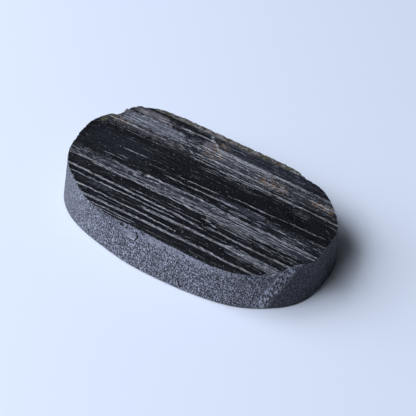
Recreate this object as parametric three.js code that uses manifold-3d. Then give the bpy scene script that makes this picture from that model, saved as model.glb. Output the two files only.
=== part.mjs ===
// A black tourmaline crystal, ground to an oval blank, in millimetres with +Z up.
// The long axis of the stone, +X, is the length of the grown crystal, so the
// natural striations of its prism face run along X over the whole top.
// The rim and the flat base are ground; the top is as the crystal grew and broke.
// Origin: the middle of the flat base.

import * as THREE from 'three';
import { mergeVertices } from 'three/addons/utils/BufferGeometryUtils.js';
import Module from 'manifold-3d';

// Driving dimensions.
const BASE_LENGTH = 38;
const BASE_WIDTH = 23.2;
const BASE_FULLNESS = 2.5; // exponent of the oval: 2 is an ellipse, more is squarer
const RIM_LENGTH = 36.8; // the ground outline at RIM_LEVEL
const RIM_WIDTH = 21.7;
const RIM_FULLNESS = 2.62;
const RIM_LEVEL = 6.2;
const THICKNESS = 6.15; // at the middle of the stone
const END_FALL = 0.037; // the top falls by this much for each mm towards +X
const BASE_CHAMFER = 0.18;

// The grain line: how far across the stone a striation has wandered at x.
const GRAIN_SLOPE = 0.02;
const GRAIN_BOW = 0.0011;

const OVAL_STEPS = 112;
const BLOCK_BELOW = -1; // the crystal block before grinding reaches under the base
const BLOCK_HALF_LENGTH = 20;
const BLANK_TOP = 9;

// Where the hand-ground outline leaves its oval: the turn around the stone and
// the spread, in degrees, then how far it stands out at the rim and at the base.
// The broken corner at the front of the +X end is the deepest, at turn 335.
const SWELLS = [
  { turn: 246, spread: 24, rim: 0.6, base: -0.12 },
  { turn: 270, spread: 24, rim: 0.05, base: 0.32 },
  { turn: 297, spread: 26, rim: 0.5, base: 0.32 },
  { turn: 335, spread: 18, rim: -0.95, base: 0.1 },
  { turn: 4, spread: 14, rim: -0.35, base: 0 },
  { turn: 34, spread: 26, rim: -0.2, base: 0 },
  { turn: 60, spread: 12, rim: -0.35, base: 0 },
  { turn: 90, spread: 24, rim: -0.5, base: 0.32 },
  { turn: 126, spread: 20, rim: 0.33, base: 0 },
  { turn: 152, spread: 7, rim: -0.55, base: 0 },
  { turn: 172, spread: 18, rim: 0.6, base: 0 },
];

// The large form of the grown face, front (-v) to back (+v): [v, height].
// A low front shoulder, a long shallow valley, then the raised back rib,
// whose weathered outer edge rolls down to the ground wall.
const FACE_FORM = [
  [-12.5, -0.36],
  [-10.6, -0.2],
  [-8.6, -0.02],
  [-5.6, 0.14],
  [-4.0, 0.16],
  [-1.8, 0.24],
  [-0.8, 0.08],
  [1.6, -0.2],
  [4.3, -0.24],
  [5.4, -0.02],
  [7.3, 0.34],
  [9.1, 0.5],
  [9.9, 0.42],
  [10.7, 0.08],
  [11.4, -0.7],
  [12.5, -2.2],
];

// Striations: each has a steep side that faces the front and a long side that
// falls away behind it. v is its middle, width the steep side's, back the long
// side's, rise its height, from and to the stretch of the stone that it runs.
const STRIATIONS = [
  { v: -10.2, width: 0.24, back: 0.3, rise: 0.1, from: -17, to: -2 },
  { v: -9.3, width: 0.32, back: 0.52, rise: 0.2, from: -19, to: 14 },
  { v: -8.3, width: 0.26, back: 0.36, rise: 0.16, from: -19, to: 6 },
  { v: -7.1, width: 0.42, back: 0.44, rise: 0.24, from: -4, to: 17 },
  { v: -6.5, width: 0.2, back: 0.12, rise: 0.11, from: -19, to: 0 },
  { v: -5.85, width: 0.36, back: 0.36, rise: 0.24, from: -19, to: 18 },
  { v: -4.75, width: 0.24, back: 0.3, rise: 0.12, from: 0, to: 18 },
  { v: -3.7, width: 0.36, back: 0.24, rise: 0.22, from: -19, to: 18 },
  { v: -2.95, width: 0.3, back: 0.24, rise: 0.14, from: -19, to: 18 },
  { v: -2.2, width: 0.34, back: 0.3, rise: 0.2, from: -19, to: 18 },
  { v: -1.2, width: 0.26, back: 0.34, rise: 0.13, from: 0, to: 19 },
  { v: -0.5, width: 0.22, back: 0.3, rise: 0.1, from: -9, to: 12 },
  { v: 0.75, width: 0.26, back: 0.4, rise: 0.13, from: -5, to: 19 },
  { v: 1.8, width: 0.22, back: 0.36, rise: 0.08, from: -15, to: -5 },
  { v: 3.4, width: 0.26, back: 0.26, rise: 0.12, from: -7, to: 13 },
  { v: 4.1, width: 0.26, back: 0.26, rise: 0.12, from: -7, to: 19 },
  { v: 5.3, width: 0.4, back: 0.3, rise: 0.16, from: -19, to: 19 },
  { v: 6.3, width: 0.3, back: 0.36, rise: 0.14, from: 0, to: 19 },
  { v: 7.3, width: 0.3, back: 0.26, rise: 0.16, from: -3, to: 19 },
];

// Plates: layers of the back rib that end in a broken ledge.
const PLATES = [
  { v: [6.1, 7.35], x: [-19, -5.5], rise: 0.26 },
  { v: [7.7, 8.75], x: [-19, -9.2], rise: 0.34 },
  { v: [7.85, 9.15], x: [-2.4, 19], rise: 0.16 },
];
const LEDGE = 0.22; // how far a plate's broken edge slopes

// Hollows: breaks and pits in the face, oval in plan.
const HOLLOWS = [
  { x: -7.6, v: 8.1, along: 1.6, across: 0.45, depth: 0.2 },
  { x: -6.9, v: -2.3, along: 0.7, across: 0.4, depth: 0.16 },
  { x: 4.0, v: -5.1, along: 1.1, across: 0.4, depth: 0.16 },
  { x: 12.4, v: 3.2, along: 1.5, across: 0.9, depth: 0.16 },
];

// The weathered groove just inside the back edge, and the bumps of that edge.
const GROOVE = { v: 9.42, width: 0.16, depth: 0.2, from: -6, to: 9 };
const BACK_BUMPS = { inner: 9.7, height: 0.16, pitch: 1.3 };

const smooth = (t) => {
  const s = Math.min(1, Math.max(0, t));
  return s * s * (3 - 2 * s);
};

// 1 between low and high, fading to 0 over soft at each end.
const between = (value, low, high, soft) =>
  smooth((value - low) / soft + 0.5) * smooth((high - value) / soft + 0.5);

const grain = (x) => GRAIN_SLOPE * x - GRAIN_BOW * x * x;

// A repeatable number from 0 to 1 for a whole number.
const scatter = (n) => {
  const s = Math.sin(n * 127.1 + 11.7) * 43758.5453;
  return s - Math.floor(s);
};

// A smooth wander from -1 to 1 along t, one swing for each whole number.
function wander(t, seed) {
  const cell = Math.floor(t);
  const a = scatter(cell + seed * 57);
  const b = scatter(cell + 1 + seed * 57);
  return 2 * (a + (b - a) * smooth(t - cell)) - 1;
}

// Straight lines through [at, value] points.
function follow(points, at) {
  const next = points.findIndex(([p]) => p >= at);
  if (next <= 0) return points[next < 0 ? points.length - 1 : 0][1];
  const [p0, q0] = points[next - 1];
  const [p1, q1] = points[next];
  return q0 + ((q1 - q0) * (at - p0)) / (p1 - p0);
}

function striation(line, x, v) {
  const { width, back, rise } = line;
  const shape = [
    [-width / 2 - back, 0],
    [-width / 2, -rise / 2],
    [width / 2, rise / 2],
    [width / 2 + back, 0],
  ];
  const strength = 0.8 + 0.3 * wander(x / 5, line.v * 3);
  return follow(shape, v - line.v) * strength * between(x, line.from, line.to, 2.4);
}

function plate({ v: [front, back], x: [left, right], rise }, x, v) {
  return rise * between(v, front, back, LEDGE) * between(x, left, right, LEDGE);
}

function hollow(pit, x, v) {
  const reach = Math.hypot((x - pit.x) / pit.along, (v - pit.v) / pit.across);
  return -pit.depth * smooth(1.4 - reach);
}

// Height of the grown face at x, on the grain line v.
function faceHeight(x, v) {
  let height = THICKNESS - END_FALL * x + follow(FACE_FORM, v);
  for (const line of STRIATIONS) height += striation(line, x, v);
  for (const layer of PLATES) height += plate(layer, x, v);
  for (const pit of HOLLOWS) height += hollow(pit, x, v);
  const groove = between(v, GROOVE.v - GROOVE.width / 2, GROOVE.v + GROOVE.width / 2, 0.1);
  height -= GROOVE.depth * groove * between(x, GROOVE.from, GROOVE.to, 2);
  const bumps = smooth((v - BACK_BUMPS.inner) / 0.4) * wander(x / BACK_BUMPS.pitch, 5);
  return height + BACK_BUMPS.height * bumps;
}

// Every grain line on which the face turns: the edges of the striations, of
// the plates and of the large form. Lines closer than the gap become one.
function grainLines(gap) {
  const edges = FACE_FORM.map(([v]) => v);
  for (const { v, width, back } of STRIATIONS) {
    edges.push(v - width / 2 - back, v - width / 2, v + width / 2, v + width / 2 + back);
  }
  for (const { v } of PLATES) {
    for (const edge of v) edges.push(edge - LEDGE / 2, edge + LEDGE / 2);
  }
  edges.push(GROOVE.v - GROOVE.width, GROOVE.v, GROOVE.v + GROOVE.width);
  edges.sort((a, b) => a - b);
  return edges.filter((edge, i) => i === 0 || edge - edges[i - 1] > gap);
}

// Stations along the crystal, with a pair at each broken ledge.
function stations(step) {
  const places = [];
  const count = Math.round((2 * BLOCK_HALF_LENGTH) / step);
  for (let i = 0; i <= count; i += 1) places.push(-BLOCK_HALF_LENGTH + i * step);
  for (const { x } of PLATES) {
    for (const end of x) {
      if (Math.abs(end) < BLOCK_HALF_LENGTH - 2) places.push(end - LEDGE / 2, end + LEDGE / 2);
    }
  }
  places.sort((a, b) => a - b);
  return places.filter((place, i) => i === 0 || place - places[i - 1] > LEDGE / 2);
}

// The crystal before grinding: a block whose top is the grown face.
function crystalBlock() {
  const along = stations(1.25);
  const across = grainLines(0.09);
  const nx = along.length - 1;
  const ny = across.length - 1;
  const block = new THREE.BoxGeometry(1, 1, 1, nx, ny, 1);
  const points = block.attributes.position;
  for (let i = 0; i < points.count; i += 1) {
    const x = along[Math.round((points.getX(i) + 0.5) * nx)];
    const v = across[Math.round((points.getY(i) + 0.5) * ny)];
    const z = points.getZ(i) > 0 ? faceHeight(x, v) : BLOCK_BELOW;
    points.setXYZ(i, x, v + grain(x), z);
  }
  return block;
}

// How far the outline stands out from its oval; drawn is 0 at the base, 1 at the rim.
function swell(angle, drawn) {
  let out = 0;
  for (const { turn, spread, rim, base } of SWELLS) {
    const away = ((THREE.MathUtils.radToDeg(angle) - turn + 900) % 360) - 180;
    const share = Math.cos((Math.PI / 2) * Math.min(1, Math.abs(away) / spread)) ** 2;
    out += share * (base + (rim - base) * drawn);
  }
  return out;
}

// The outline at a turn: a superellipse, moved outward by its swell.
function outlineAt(angle, { length, width, fullness }, out) {
  const c = Math.cos(angle);
  const s = Math.sin(angle);
  const round = (t) => Math.sign(t) * Math.abs(t) ** (2 / fullness);
  const lean = Math.hypot(width * c, length * s);
  return [
    (length / 2) * round(c) + (out * width * c) / lean,
    (width / 2) * round(s) + (out * length * s) / lean,
  ];
}

// The ground blank: the oval of the base, drawn in towards the rim's oval.
function groundBlank() {
  const outline = new THREE.Shape();
  for (let i = 0; i < OVAL_STEPS; i += 1) {
    const angle = (2 * Math.PI * i) / OVAL_STEPS;
    const [x, y] = [Math.cos(angle), Math.sin(angle)];
    if (i === 0) outline.moveTo(x, y);
    else outline.lineTo(x, y);
  }
  const levels = [0, BASE_CHAMFER, RIM_LEVEL / 2, RIM_LEVEL, BLANK_TOP];
  const blank = new THREE.ExtrudeGeometry(outline, {
    depth: 1,
    steps: levels.length - 1,
    bevelEnabled: false,
  });
  const points = blank.attributes.position;
  for (let i = 0; i < points.count; i += 1) {
    const z = levels[Math.round(points.getZ(i) * (levels.length - 1))];
    const angle = Math.atan2(points.getY(i), points.getX(i));
    const drawn = Math.max(z, BASE_CHAMFER) / RIM_LEVEL;
    const cut = z === 0 ? BASE_CHAMFER : 0;
    const oval = {
      length: THREE.MathUtils.lerp(BASE_LENGTH, RIM_LENGTH, drawn),
      width: THREE.MathUtils.lerp(BASE_WIDTH, RIM_WIDTH, drawn),
      fullness: THREE.MathUtils.lerp(BASE_FULLNESS, RIM_FULLNESS, drawn),
    };
    const [x, y] = outlineAt(angle, oval, swell(angle, drawn) - cut);
    points.setXYZ(i, x, y, z);
  }
  return blank;
}

// Chips that have sprung off the ground edge, as the lumps that left it.
const CHIPS = [
  { at: [-4.3, -11.82, 5.0], size: [1.9, 0.42, 0.62], turn: [0.12, 0.3, 0.04] },
  { at: [14.6, -8.4, 5.9], size: [1.5, 0.7, 0.5], turn: [0.5, 0.25, 0.7] },
  { at: [16.9, -5.2, 5.7], size: [0.8, 0.5, 0.4], turn: [0.4, 0.2, 1.1] },
  { at: [-17.2, 6.4, 7.1], size: [0.9, 0.6, 0.55], turn: [0, 0, 0.6] },
  { at: [3.9, -12.0, 0.3], size: [0.14, 0.45, 0.75], turn: [0, 0.2, 0] },
];

function chip({ at, size, turn }) {
  const lump = new THREE.SphereGeometry(1, 10, 7);
  lump.scale(...size);
  lump.rotateX(turn[0]);
  lump.rotateY(turn[1]);
  lump.rotateZ(turn[2]);
  lump.translate(...at);
  return lump;
}

const wasm = await Module();
wasm.setup();

function solid(geometry) {
  const bare = geometry.clone();
  bare.deleteAttribute('normal');
  bare.deleteAttribute('uv');
  const merged = mergeVertices(bare, 1e-5);
  return new wasm.Manifold(
    new wasm.Mesh({
      numProp: 3,
      vertProperties: new Float32Array(merged.attributes.position.array),
      triVerts: new Uint32Array(merged.index.array),
    }),
  );
}

function shape(manifold) {
  const mesh = manifold.getMesh();
  const geometry = new THREE.BufferGeometry();
  geometry.setAttribute('position', new THREE.BufferAttribute(mesh.vertProperties, 3));
  geometry.setIndex(new THREE.BufferAttribute(mesh.triVerts, 1));
  geometry.computeVertexNormals();
  return geometry;
}

function tourmalineCrystal() {
  let stone = solid(crystalBlock()).intersect(solid(groundBlank()));
  for (const lump of CHIPS) stone = stone.subtract(solid(chip(lump)));
  const black = new THREE.MeshStandardMaterial({
    color: 0x1b1c20,
    roughness: 0.35,
    metalness: 0,
  });
  const mesh = new THREE.Mesh(shape(stone), black);
  mesh.name = 'tourmaline_crystal';
  return mesh;
}

const stone = new THREE.Group();
stone.add(tourmalineCrystal());

export default stone;
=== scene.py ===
# %% [markdown]
# # A black tourmaline crystal, ground to an oval
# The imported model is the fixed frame: it says how big the stone is and where
# its base lies. Everything here is in metres, in that frame, with +Z up and
# +X along the length of the crystal. The stone is one piece, so the lesson
# builds one fine mesh that takes the place of the plain solid.

# %% Load the frame
import bpy
import math
import bmesh
import numpy as np
from mathutils import Matrix, Vector


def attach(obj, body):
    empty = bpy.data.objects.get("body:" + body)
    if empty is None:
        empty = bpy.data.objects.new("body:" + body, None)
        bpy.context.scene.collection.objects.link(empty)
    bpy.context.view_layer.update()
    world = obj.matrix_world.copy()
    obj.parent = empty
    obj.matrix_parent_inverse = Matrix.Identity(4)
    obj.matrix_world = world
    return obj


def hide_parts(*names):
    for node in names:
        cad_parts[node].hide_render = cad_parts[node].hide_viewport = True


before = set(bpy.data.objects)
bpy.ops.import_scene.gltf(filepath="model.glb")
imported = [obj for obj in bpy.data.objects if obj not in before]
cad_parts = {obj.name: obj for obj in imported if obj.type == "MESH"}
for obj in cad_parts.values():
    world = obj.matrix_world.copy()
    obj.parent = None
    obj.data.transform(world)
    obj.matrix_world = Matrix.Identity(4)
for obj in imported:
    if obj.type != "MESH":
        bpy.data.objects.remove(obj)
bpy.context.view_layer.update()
STONE = "tourmaline_crystal"
MM = 0.001

# %% [markdown]
# ## The camera
# The photograph was taken with a long view from the right and above, with the
# camera turned a little. The direction was found by laying the outlines of
# the base and the rim over the photograph. Right and up are built from the
# direction, then turned by the roll.

# %% The camera
VIEW_AZIMUTH = math.radians(27.64)
VIEW_ELEVATION = math.radians(43.18)
VIEW_ROLL = math.radians(5.07)
VIEW_DISTANCE = 184.9 * MM
VIEW_SHIFT_RIGHT = 1.276 * MM
VIEW_SHIFT_UP = 1.915 * MM
FRAME_PIXELS = 416
FOCAL_PIXELS = 1400
SENSOR_WIDTH = 36
VIEW_NEAR = 10 * MM
VIEW_FAR = 10


def photo_camera():
    level = math.cos(VIEW_ELEVATION)
    forward = Vector((
        -math.sin(VIEW_AZIMUTH) * level,
        math.cos(VIEW_AZIMUTH) * level,
        -math.sin(VIEW_ELEVATION),
    ))
    flat_right = Vector((math.cos(VIEW_AZIMUTH), math.sin(VIEW_AZIMUTH), 0))
    flat_up = flat_right.cross(forward)
    right = math.cos(VIEW_ROLL) * flat_right + math.sin(VIEW_ROLL) * flat_up
    up = right.cross(forward)
    data = bpy.data.cameras.new("photo_view")
    data.sensor_width = SENSOR_WIDTH
    data.lens = FOCAL_PIXELS / FRAME_PIXELS * SENSOR_WIDTH
    data.clip_start = VIEW_NEAR
    data.clip_end = VIEW_FAR
    camera = bpy.data.objects.new("photo_view", data)
    bpy.context.scene.collection.objects.link(camera)
    turned = Matrix((right, up, -forward)).transposed().to_4x4()
    place = -VIEW_DISTANCE * forward + VIEW_SHIFT_RIGHT * right + VIEW_SHIFT_UP * up
    camera.matrix_world = Matrix.Translation(place) @ turned
    bpy.context.scene.camera = camera
    return camera


camera = photo_camera()
print("lens, mm:", round(camera.data.lens, 1))

# %% [markdown]
# ## The large form of the grown face
# A tourmaline prism face is never flat across: it rolls in long ribs that run
# the length of the crystal. Here a low shoulder in front is followed by a
# shallow valley and a raised back rib. The form is a short list of points
# across the stone, and a grain line that says how the ribs wander along it.

# %% Sizes of the ground blank and the grown face
BASE_LENGTH = 38.0 * MM
BASE_WIDTH = 23.2 * MM
BASE_FULLNESS = 2.5
RIM_LENGTH = 36.8 * MM
RIM_WIDTH = 21.7 * MM
RIM_FULLNESS = 2.62
RIM_LEVEL = 6.2 * MM
THICKNESS = 6.15 * MM
END_FALL = 0.037
BASE_CHAMFER = 0.18 * MM
GRAIN_SLOPE = 0.02
GRAIN_BOW = 1.1

# Across the stone, front to back: (v, height), in mm.
FACE_FORM = [
    (-12.5, -0.36), (-10.6, -0.2), (-8.6, -0.02), (-5.6, 0.14), (-4.0, 0.16),
    (-1.8, 0.24), (-0.8, 0.08), (1.6, -0.2), (4.3, -0.24), (5.4, -0.02), (7.3, 0.34),
    (9.1, 0.5), (9.9, 0.42), (10.7, 0.08), (11.4, -0.7), (12.5, -2.2),
]

# Where the hand-ground outline leaves its oval: the turn and the spread in
# degrees, then how far it stands out at the rim and at the base, in mm.
SWELLS = [
    (246, 24, 0.6, -0.12), (270, 24, 0.05, 0.32), (297, 26, 0.5, 0.32),
    (335, 18, -0.95, 0.1), (4, 14, -0.35, 0.0), (34, 26, -0.2, 0.0),
    (60, 12, -0.35, 0.0), (90, 24, -0.5, 0.32), (126, 20, 0.33, 0.0),
    (152, 7, -0.55, 0.0), (172, 18, 0.6, 0.0),
]


def grain(x):
    """How far across the stone a striation has wandered at x."""
    return GRAIN_SLOPE * x - GRAIN_BOW * x * x


def ramp(t):
    s = np.clip(t, 0, 1)
    return s * s * (3 - 2 * s)


def between(value, low, high, soft):
    """1 between low and high, fading to 0 over soft at each end."""
    return ramp((value - low) / soft + 0.5) * ramp((high - value) / soft + 0.5)


def through(points, at):
    """Straight lines through (place, height) points given in mm."""
    places = [p * MM for p, _ in points]
    heights = [h * MM for _, h in points]
    return np.interp(at, places, heights)

# %% [markdown]
# ## Striations
# Striations are the steps by which the prism face grew. Each has a short
# steep side that turns to the front, between two long gentle sides. Only the
# steep side catches the light from above, which draws the pale lines of the
# photograph. The main ones are placed one by one where the photograph shows
# them: place across the stone, width and tilt of the steep side, how far the
# gentle sides run out, and the stretch of the crystal over which it shows.

# %% One striation
def line(v, width, tilt, back, start=-21, end=21, lean=0.0, waver=0.08):
    """One striation, in mm and degrees; lean is its drift across for each mm along."""
    return {
        "v": v * MM, "width": width * MM, "rise": width * MM * math.tan(math.radians(tilt)),
        "back": back * MM, "start": start * MM, "end": end * MM, "lean": lean, "waver": waver,
    }


SCATTER_TURN = 127.1
SCATTER_SHIFT = 11.7
SCATTER_SPREAD = 43758.5453
SEED_STRIDE = 57


def scatter(n):
    """A repeatable number from 0 to 1 for each whole number."""
    s = np.sin(n * SCATTER_TURN + SCATTER_SHIFT) * SCATTER_SPREAD
    return s - np.floor(s)


def wander(t, seed):
    """A smooth wander from -1 to 1, one swing for each whole number."""
    cell = np.floor(t)
    a = scatter(cell + seed * SEED_STRIDE)
    b = scatter(cell + 1 + seed * SEED_STRIDE)
    return 2 * (a + (b - a) * ramp(t - cell)) - 1


# A striation drifts, has a ragged course and a tufted edge, and wavers in height:
# how much, and how far it runs for one swing of each.
LINE_DRIFT = 0.05 * MM
DRIFT_RUN = 3.1 * MM
LINE_RAG = 0.028 * MM
RAG_RUN = 0.6 * MM
LINE_TUFT = 0.3
TUFTED_WIDTH = 0.3 * MM
TUFT_RUN = 0.5 * MM
WAVER_RUN = 4 * MM
LINE_FADE = 1.6 * MM


def striation(mark, x, v):
    """The rise and fall of one striation over arrays of x and v."""
    seed = mark["v"] / MM
    middle = mark["v"] + mark["lean"] * x
    middle = middle + LINE_DRIFT * wander(x / DRIFT_RUN, seed)
    middle = middle + LINE_RAG * wander(x / RAG_RUN, seed + 3)
    tuft = LINE_TUFT * min(mark["width"], TUFTED_WIDTH) * wander(x / TUFT_RUN, seed + 7)
    half = (mark["width"] + tuft) / 2
    away = v - middle - tuft / 2
    steep_side = np.clip(away / half, -1, 1)
    gentle_sides = np.clip((half + mark["back"] - np.abs(away)) / mark["back"], 0, 1)
    strength = 1 - mark["waver"] + mark["waver"] * wander(x / WAVER_RUN, 3 * seed)
    shape = mark["rise"] / 2 * steep_side * gentle_sides
    return shape * strength * between(x, mark["start"], mark["end"], LINE_FADE)


# %% A close row of striations
# No two in a row are quite alike: each stands at its own place in its step of
# the pitch, has its own tilt and stops short at both ends by its own share.
COMB_PLACE = (0.3, 0.4)
COMB_TILT = (0.7, 0.4)
COMB_SHORTER = 0.35
COMB_WAVER = 0.2
DRAW_STRIDE = 9


def comb(front, back, pitch, tilt, start, end, seed, fill=0.5):
    """Striations side by side from front to back; fill is the steep share of the pitch."""
    made = []
    least_place, more_place = COMB_PLACE
    least_tilt, more_tilt = COMB_TILT
    for step in range(round((back - front) / pitch)):
        draw = seed + DRAW_STRIDE * step
        drift, steep, begin, stop = (float(scatter(draw + k)) for k in range(4))
        made.append(line(
            front + (step + least_place + more_place * drift) * pitch,
            fill * pitch,
            tilt * (least_tilt + more_tilt * steep),
            (1 - fill) * pitch,
            start + COMB_SHORTER * begin * (end - start),
            end - COMB_SHORTER * stop * (end - start),
            waver=COMB_WAVER,
        ))
    return made


# %% The striations of the front shoulder
FRONT_LINES = [
    line(-10.5, 0.12, 32, 0.16, -13, -4),
    line(-10.1, 0.12, 33, 0.16, -12, -4),
    line(-9.31, 0.24, 35, 0.45, -21, 13.5, 0.005),
    line(-8.85, 0.12, 26, 0.2, -12, 0),
    line(-8.5, 0.15, 36, 0.3, -21, 1, -0.025),
    line(-7.6, 0.12, 22, 0.2, -9, 8),
    line(-7.36, 0.26, 36, 0.5, -4.5, 21, 0.01),
    line(-7.6, 0.9, 27, 0.3, 8, 18, 0.012),
    line(-6.66, 0.15, 36, 0.2, -21, 0),
    line(-6.16, 0.22, 36, 0.36, -21, 4.2, -0.03),
    line(-5.98, 0.24, 36, 0.36, 4, 21, 0.018),
    line(-5.5, 0.13, 32, 0.14, -7, 3.5),
    *comb(-9.1, -7.6, 0.24, 13, -10, 5, 40, 0.3),
    *comb(-7.1, -6.3, 0.2, 24, -4, 19, 80, 0.35),
    line(-4.9, 0.16, 36, 0.14, 5, 17),
    line(-4.45, 0.16, 36, 0.14, 3, 18),
    *comb(-5.6, -4.3, 0.22, 30, 1, 19, 120, 0.4),
    *comb(-5.4, -4.3, 0.24, 22, -18, 2, 140, 0.3),
]
print("front shoulder:", len(FRONT_LINES), "striations")

# %% The striations of the bright slope and behind it
MIDDLE_LINES = [
    line(-4.1, 0.2, 36, 0.16, -14, 1, -0.008),
    line(-4.22, 0.24, 38, 0.2, 0, 21, 0.03),
    line(-3.62, 0.14, 37, 0.1, -21, 5, 0.01),
    line(-2.2, 0.22, 37, 0.12, -8, 4),
    line(-2.5, 0.26, 37, 0.14, 3, 21, 0.01),
    line(-3.02, 0.15, 36, 0.14, 3, 21, 0.012),
    line(-3.4, 0.15, 36, 0.14, 3, 15, 0.012),
    *comb(-3.6, -2.05, 0.19, 37, -30, 14, 160, 0.55),
    line(-1.68, 0.1, 30, 0.2, -3, 9),
    line(-1.05, 0.2, 36, 0.2, 8, 21),
    line(-0.62, 0.18, 36, 0.26, -5, 6, 0.02),
    line(-0.3, 0.7, 14, 0.4, 1.5, 12, -0.04),
    *comb(-1.75, 0.3, 0.23, 35, 0, 27, 200, 0.4),
    *comb(-2.0, 1.0, 0.28, 25, -20, 0, 220, 0.3),
    line(0.35, 0.18, 36, 0.3, -4.5, 4, 0.03),
    line(0.68, 0.16, 37, 0.3, 3, 17.5, 0.05),
]
print("bright slope:", len(MIDDLE_LINES), "striations")

# %% The striations of the valley and the back rib
VALLEY_LINES = [
    line(1.6, 0.14, 35, 0.3, -12.5, -6.5, 0.05),
    line(2.45, 0.12, 33, 0.2, -11.5, -9),
    *comb(1.2, 3.1, 0.4, 24, -14, 12, 230, 0.25),
    *comb(3.2, 4.4, 0.26, 36, -4.5, 12, 240, 0.4),
    line(4.75, 0.13, 35, 0.2, 5, 20),
]
RIB_LINES = [
    line(5.3, 0.26, 20, 0.2, -21, 6),
    line(5.5, 0.24, 35, 0.12, -2, 8),
    line(6.35, 0.16, 30, 0.2, 2, 20),
    line(6.7, 1.0, 8, 0.4, -17, -5),
    line(6.8, 0.16, 33, 0.14, -4, 7),
    *comb(4.8, 7.1, 0.25, 30, -5, 20, 280, 0.4),
    *comb(7.8, 9.1, 0.22, 12, -3, 16, 320, 0.35),
    line(8.4, 0.16, 26, 0.14, -7.5, -3),
    line(8.1, 0.8, 8, 0.3, -15, -9),
]
LINES = FRONT_LINES + MIDDLE_LINES + VALLEY_LINES + RIB_LINES
print("all striations:", len(LINES))

# %% [markdown]
# ## Plates, hollows and the weathered edge
# The back rib grew in layers, and some end in a broken ledge. Pits and flaky
# breaks interrupt the lines. A groove runs inside the back edge, whose skin
# has weathered into low bumps.

# %% Plates, hollows and grooves
PLATES = [
    {"v": (6.1, 7.35), "x": (-19, -5.5), "rise": 0.26},
    {"v": (7.7, 8.75), "x": (-19, -9.2), "rise": 0.34},
    {"v": (7.3, 9.15), "x": (-1.8, 19), "rise": 0.16},
]
LEDGE = 0.22 * MM
HOLLOWS = [
    {"x": -7.6, "v": 8.0, "along": 1.4, "across": 0.4, "depth": 0.12},
    {"x": -6.9, "v": -2.3, "along": 0.5, "across": 0.3, "depth": 0.16},
    {"x": -8.5, "v": -2.9, "along": 0.35, "across": 0.25, "depth": 0.12},
    {"x": 3.6, "v": -5.0, "along": 0.7, "across": 0.3, "depth": 0.14},
    {"x": 4.8, "v": -5.25, "along": 0.5, "across": 0.22, "depth": 0.12},
    {"x": 10.0, "v": -0.5, "along": 0.5, "across": 0.25, "depth": 0.1},
    {"x": 12.4, "v": 3.2, "along": 1.5, "across": 0.9, "depth": 0.16},
]
GROOVES = [
    {"v": 9.42, "width": 0.16, "depth": 0.2, "x": (-6, 9)},
    {"v": 7.4, "width": 0.1, "depth": 0.12, "x": (-16, -11)},
    {"v": 4.6, "width": 0.12, "depth": 0.08, "x": (-4, 12)},
    {"v": -3.7, "width": 0.08, "depth": 0.06, "x": (-7, 19)},
    {"v": 7.05, "width": 0.08, "depth": 0.07, "x": (-2, 7)},
]


LEDGE_RAG = 0.4 * MM
LEDGE_RAG_RUN = 0.3 * MM
HOLLOW_REACH = 1.4
GROOVE_SIDE = 0.1 * MM
GROOVE_FADE = 2 * MM


def plate(layer, x, v):
    """A layer that ends in a ledge, ragged and slanted where it crosses the grain."""
    front, back = (edge * MM for edge in layer["v"])
    left, right = (edge * MM for edge in layer["x"])
    rag = LEDGE_RAG * wander(v / LEDGE_RAG_RUN, layer["v"][0]) + (v - front)
    cover = between(v, front, back, LEDGE) * between(x + rag, left, right, LEDGE)
    return layer["rise"] * MM * cover


def hollow(pit, x, v):
    along = (x / MM - pit["x"]) / pit["along"]
    across = (v / MM - pit["v"]) / pit["across"]
    return -pit["depth"] * MM * ramp(HOLLOW_REACH - np.hypot(along, across))


def groove(cut, x, v):
    low = (cut["v"] - cut["width"] / 2) * MM
    high = (cut["v"] + cut["width"] / 2) * MM
    left, right = (end * MM for end in cut["x"])
    across = between(v, low, high, GROOVE_SIDE)
    along = between(x, left, right, GROOVE_FADE)
    return -cut["depth"] * MM * across * along


# %% The height of the grown face
def face_height(x, v):
    height = THICKNESS - END_FALL * x + through(FACE_FORM, v)
    for mark in LINES:
        height = height + striation(mark, x, v)
    for layer in PLATES:
        height = height + plate(layer, x, v)
    for pit in HOLLOWS:
        height = height + hollow(pit, x, v)
    for cut in GROOVES:
        height = height + groove(cut, x, v)
    return height


# %% [markdown]
# ## The crystal block
# The crystal before grinding is a block with the grown face on top. Its grid
# is fine across the grain and coarser along it, because the face changes
# fast only across. The columns of the grid follow the grain, so that no line
# turns into a row of steps.

# %% A closed grid block
BLOCK_HALF_LENGTH = 19.6 * MM
BLOCK_HALF_WIDTH = 12.3 * MM
BLOCK_BELOW = -1 * MM
STEP_ALONG = 0.25 * MM
STEP_ACROSS = 0.05 * MM

# How strongly the fine striations show, front to back: (v in mm, share).
FINE_SHARE = [
    (-12.5, 0.6), (-9.0, 0.6), (-7.6, 0.6), (-5.4, 0.7), (-4.5, 0.5), (-4.1, 0.6),
    (-3.8, 0.9), (-2.0, 0.9), (-1.7, 0.7), (0.4, 0.7), (1.2, 0.3), (3.0, 0.3),
    (3.4, 0.7), (4.8, 0.6), (5.2, 1.0), (7.0, 1.0), (9.2, 0.9), (10.6, 0.3),
]


def grid_block(x, y, top, bottom):
    """Vertices and quads of a block with a height for each place on its top."""
    rows, columns = x.shape
    upper = np.stack([x, y, top], axis=-1).reshape(-1, 3)
    lower = np.stack([x, y, np.full_like(x, bottom)], axis=-1).reshape(-1, 3)
    place = np.arange(rows * columns).reshape(rows, columns)
    quads = np.stack(
        [place[:-1, :-1], place[:-1, 1:], place[1:, 1:], place[1:, :-1]], axis=-1
    ).reshape(-1, 4)
    under = quads[:, ::-1] + rows * columns
    edge = np.concatenate([place[0, :], place[1:, -1], place[-1, -2::-1], place[-2:0:-1, 0]])
    ahead = np.roll(edge, -1)
    side = np.stack([edge, edge + rows * columns, ahead + rows * columns, ahead], axis=-1)
    return np.concatenate([upper, lower]), np.concatenate([quads, under, side])


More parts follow.
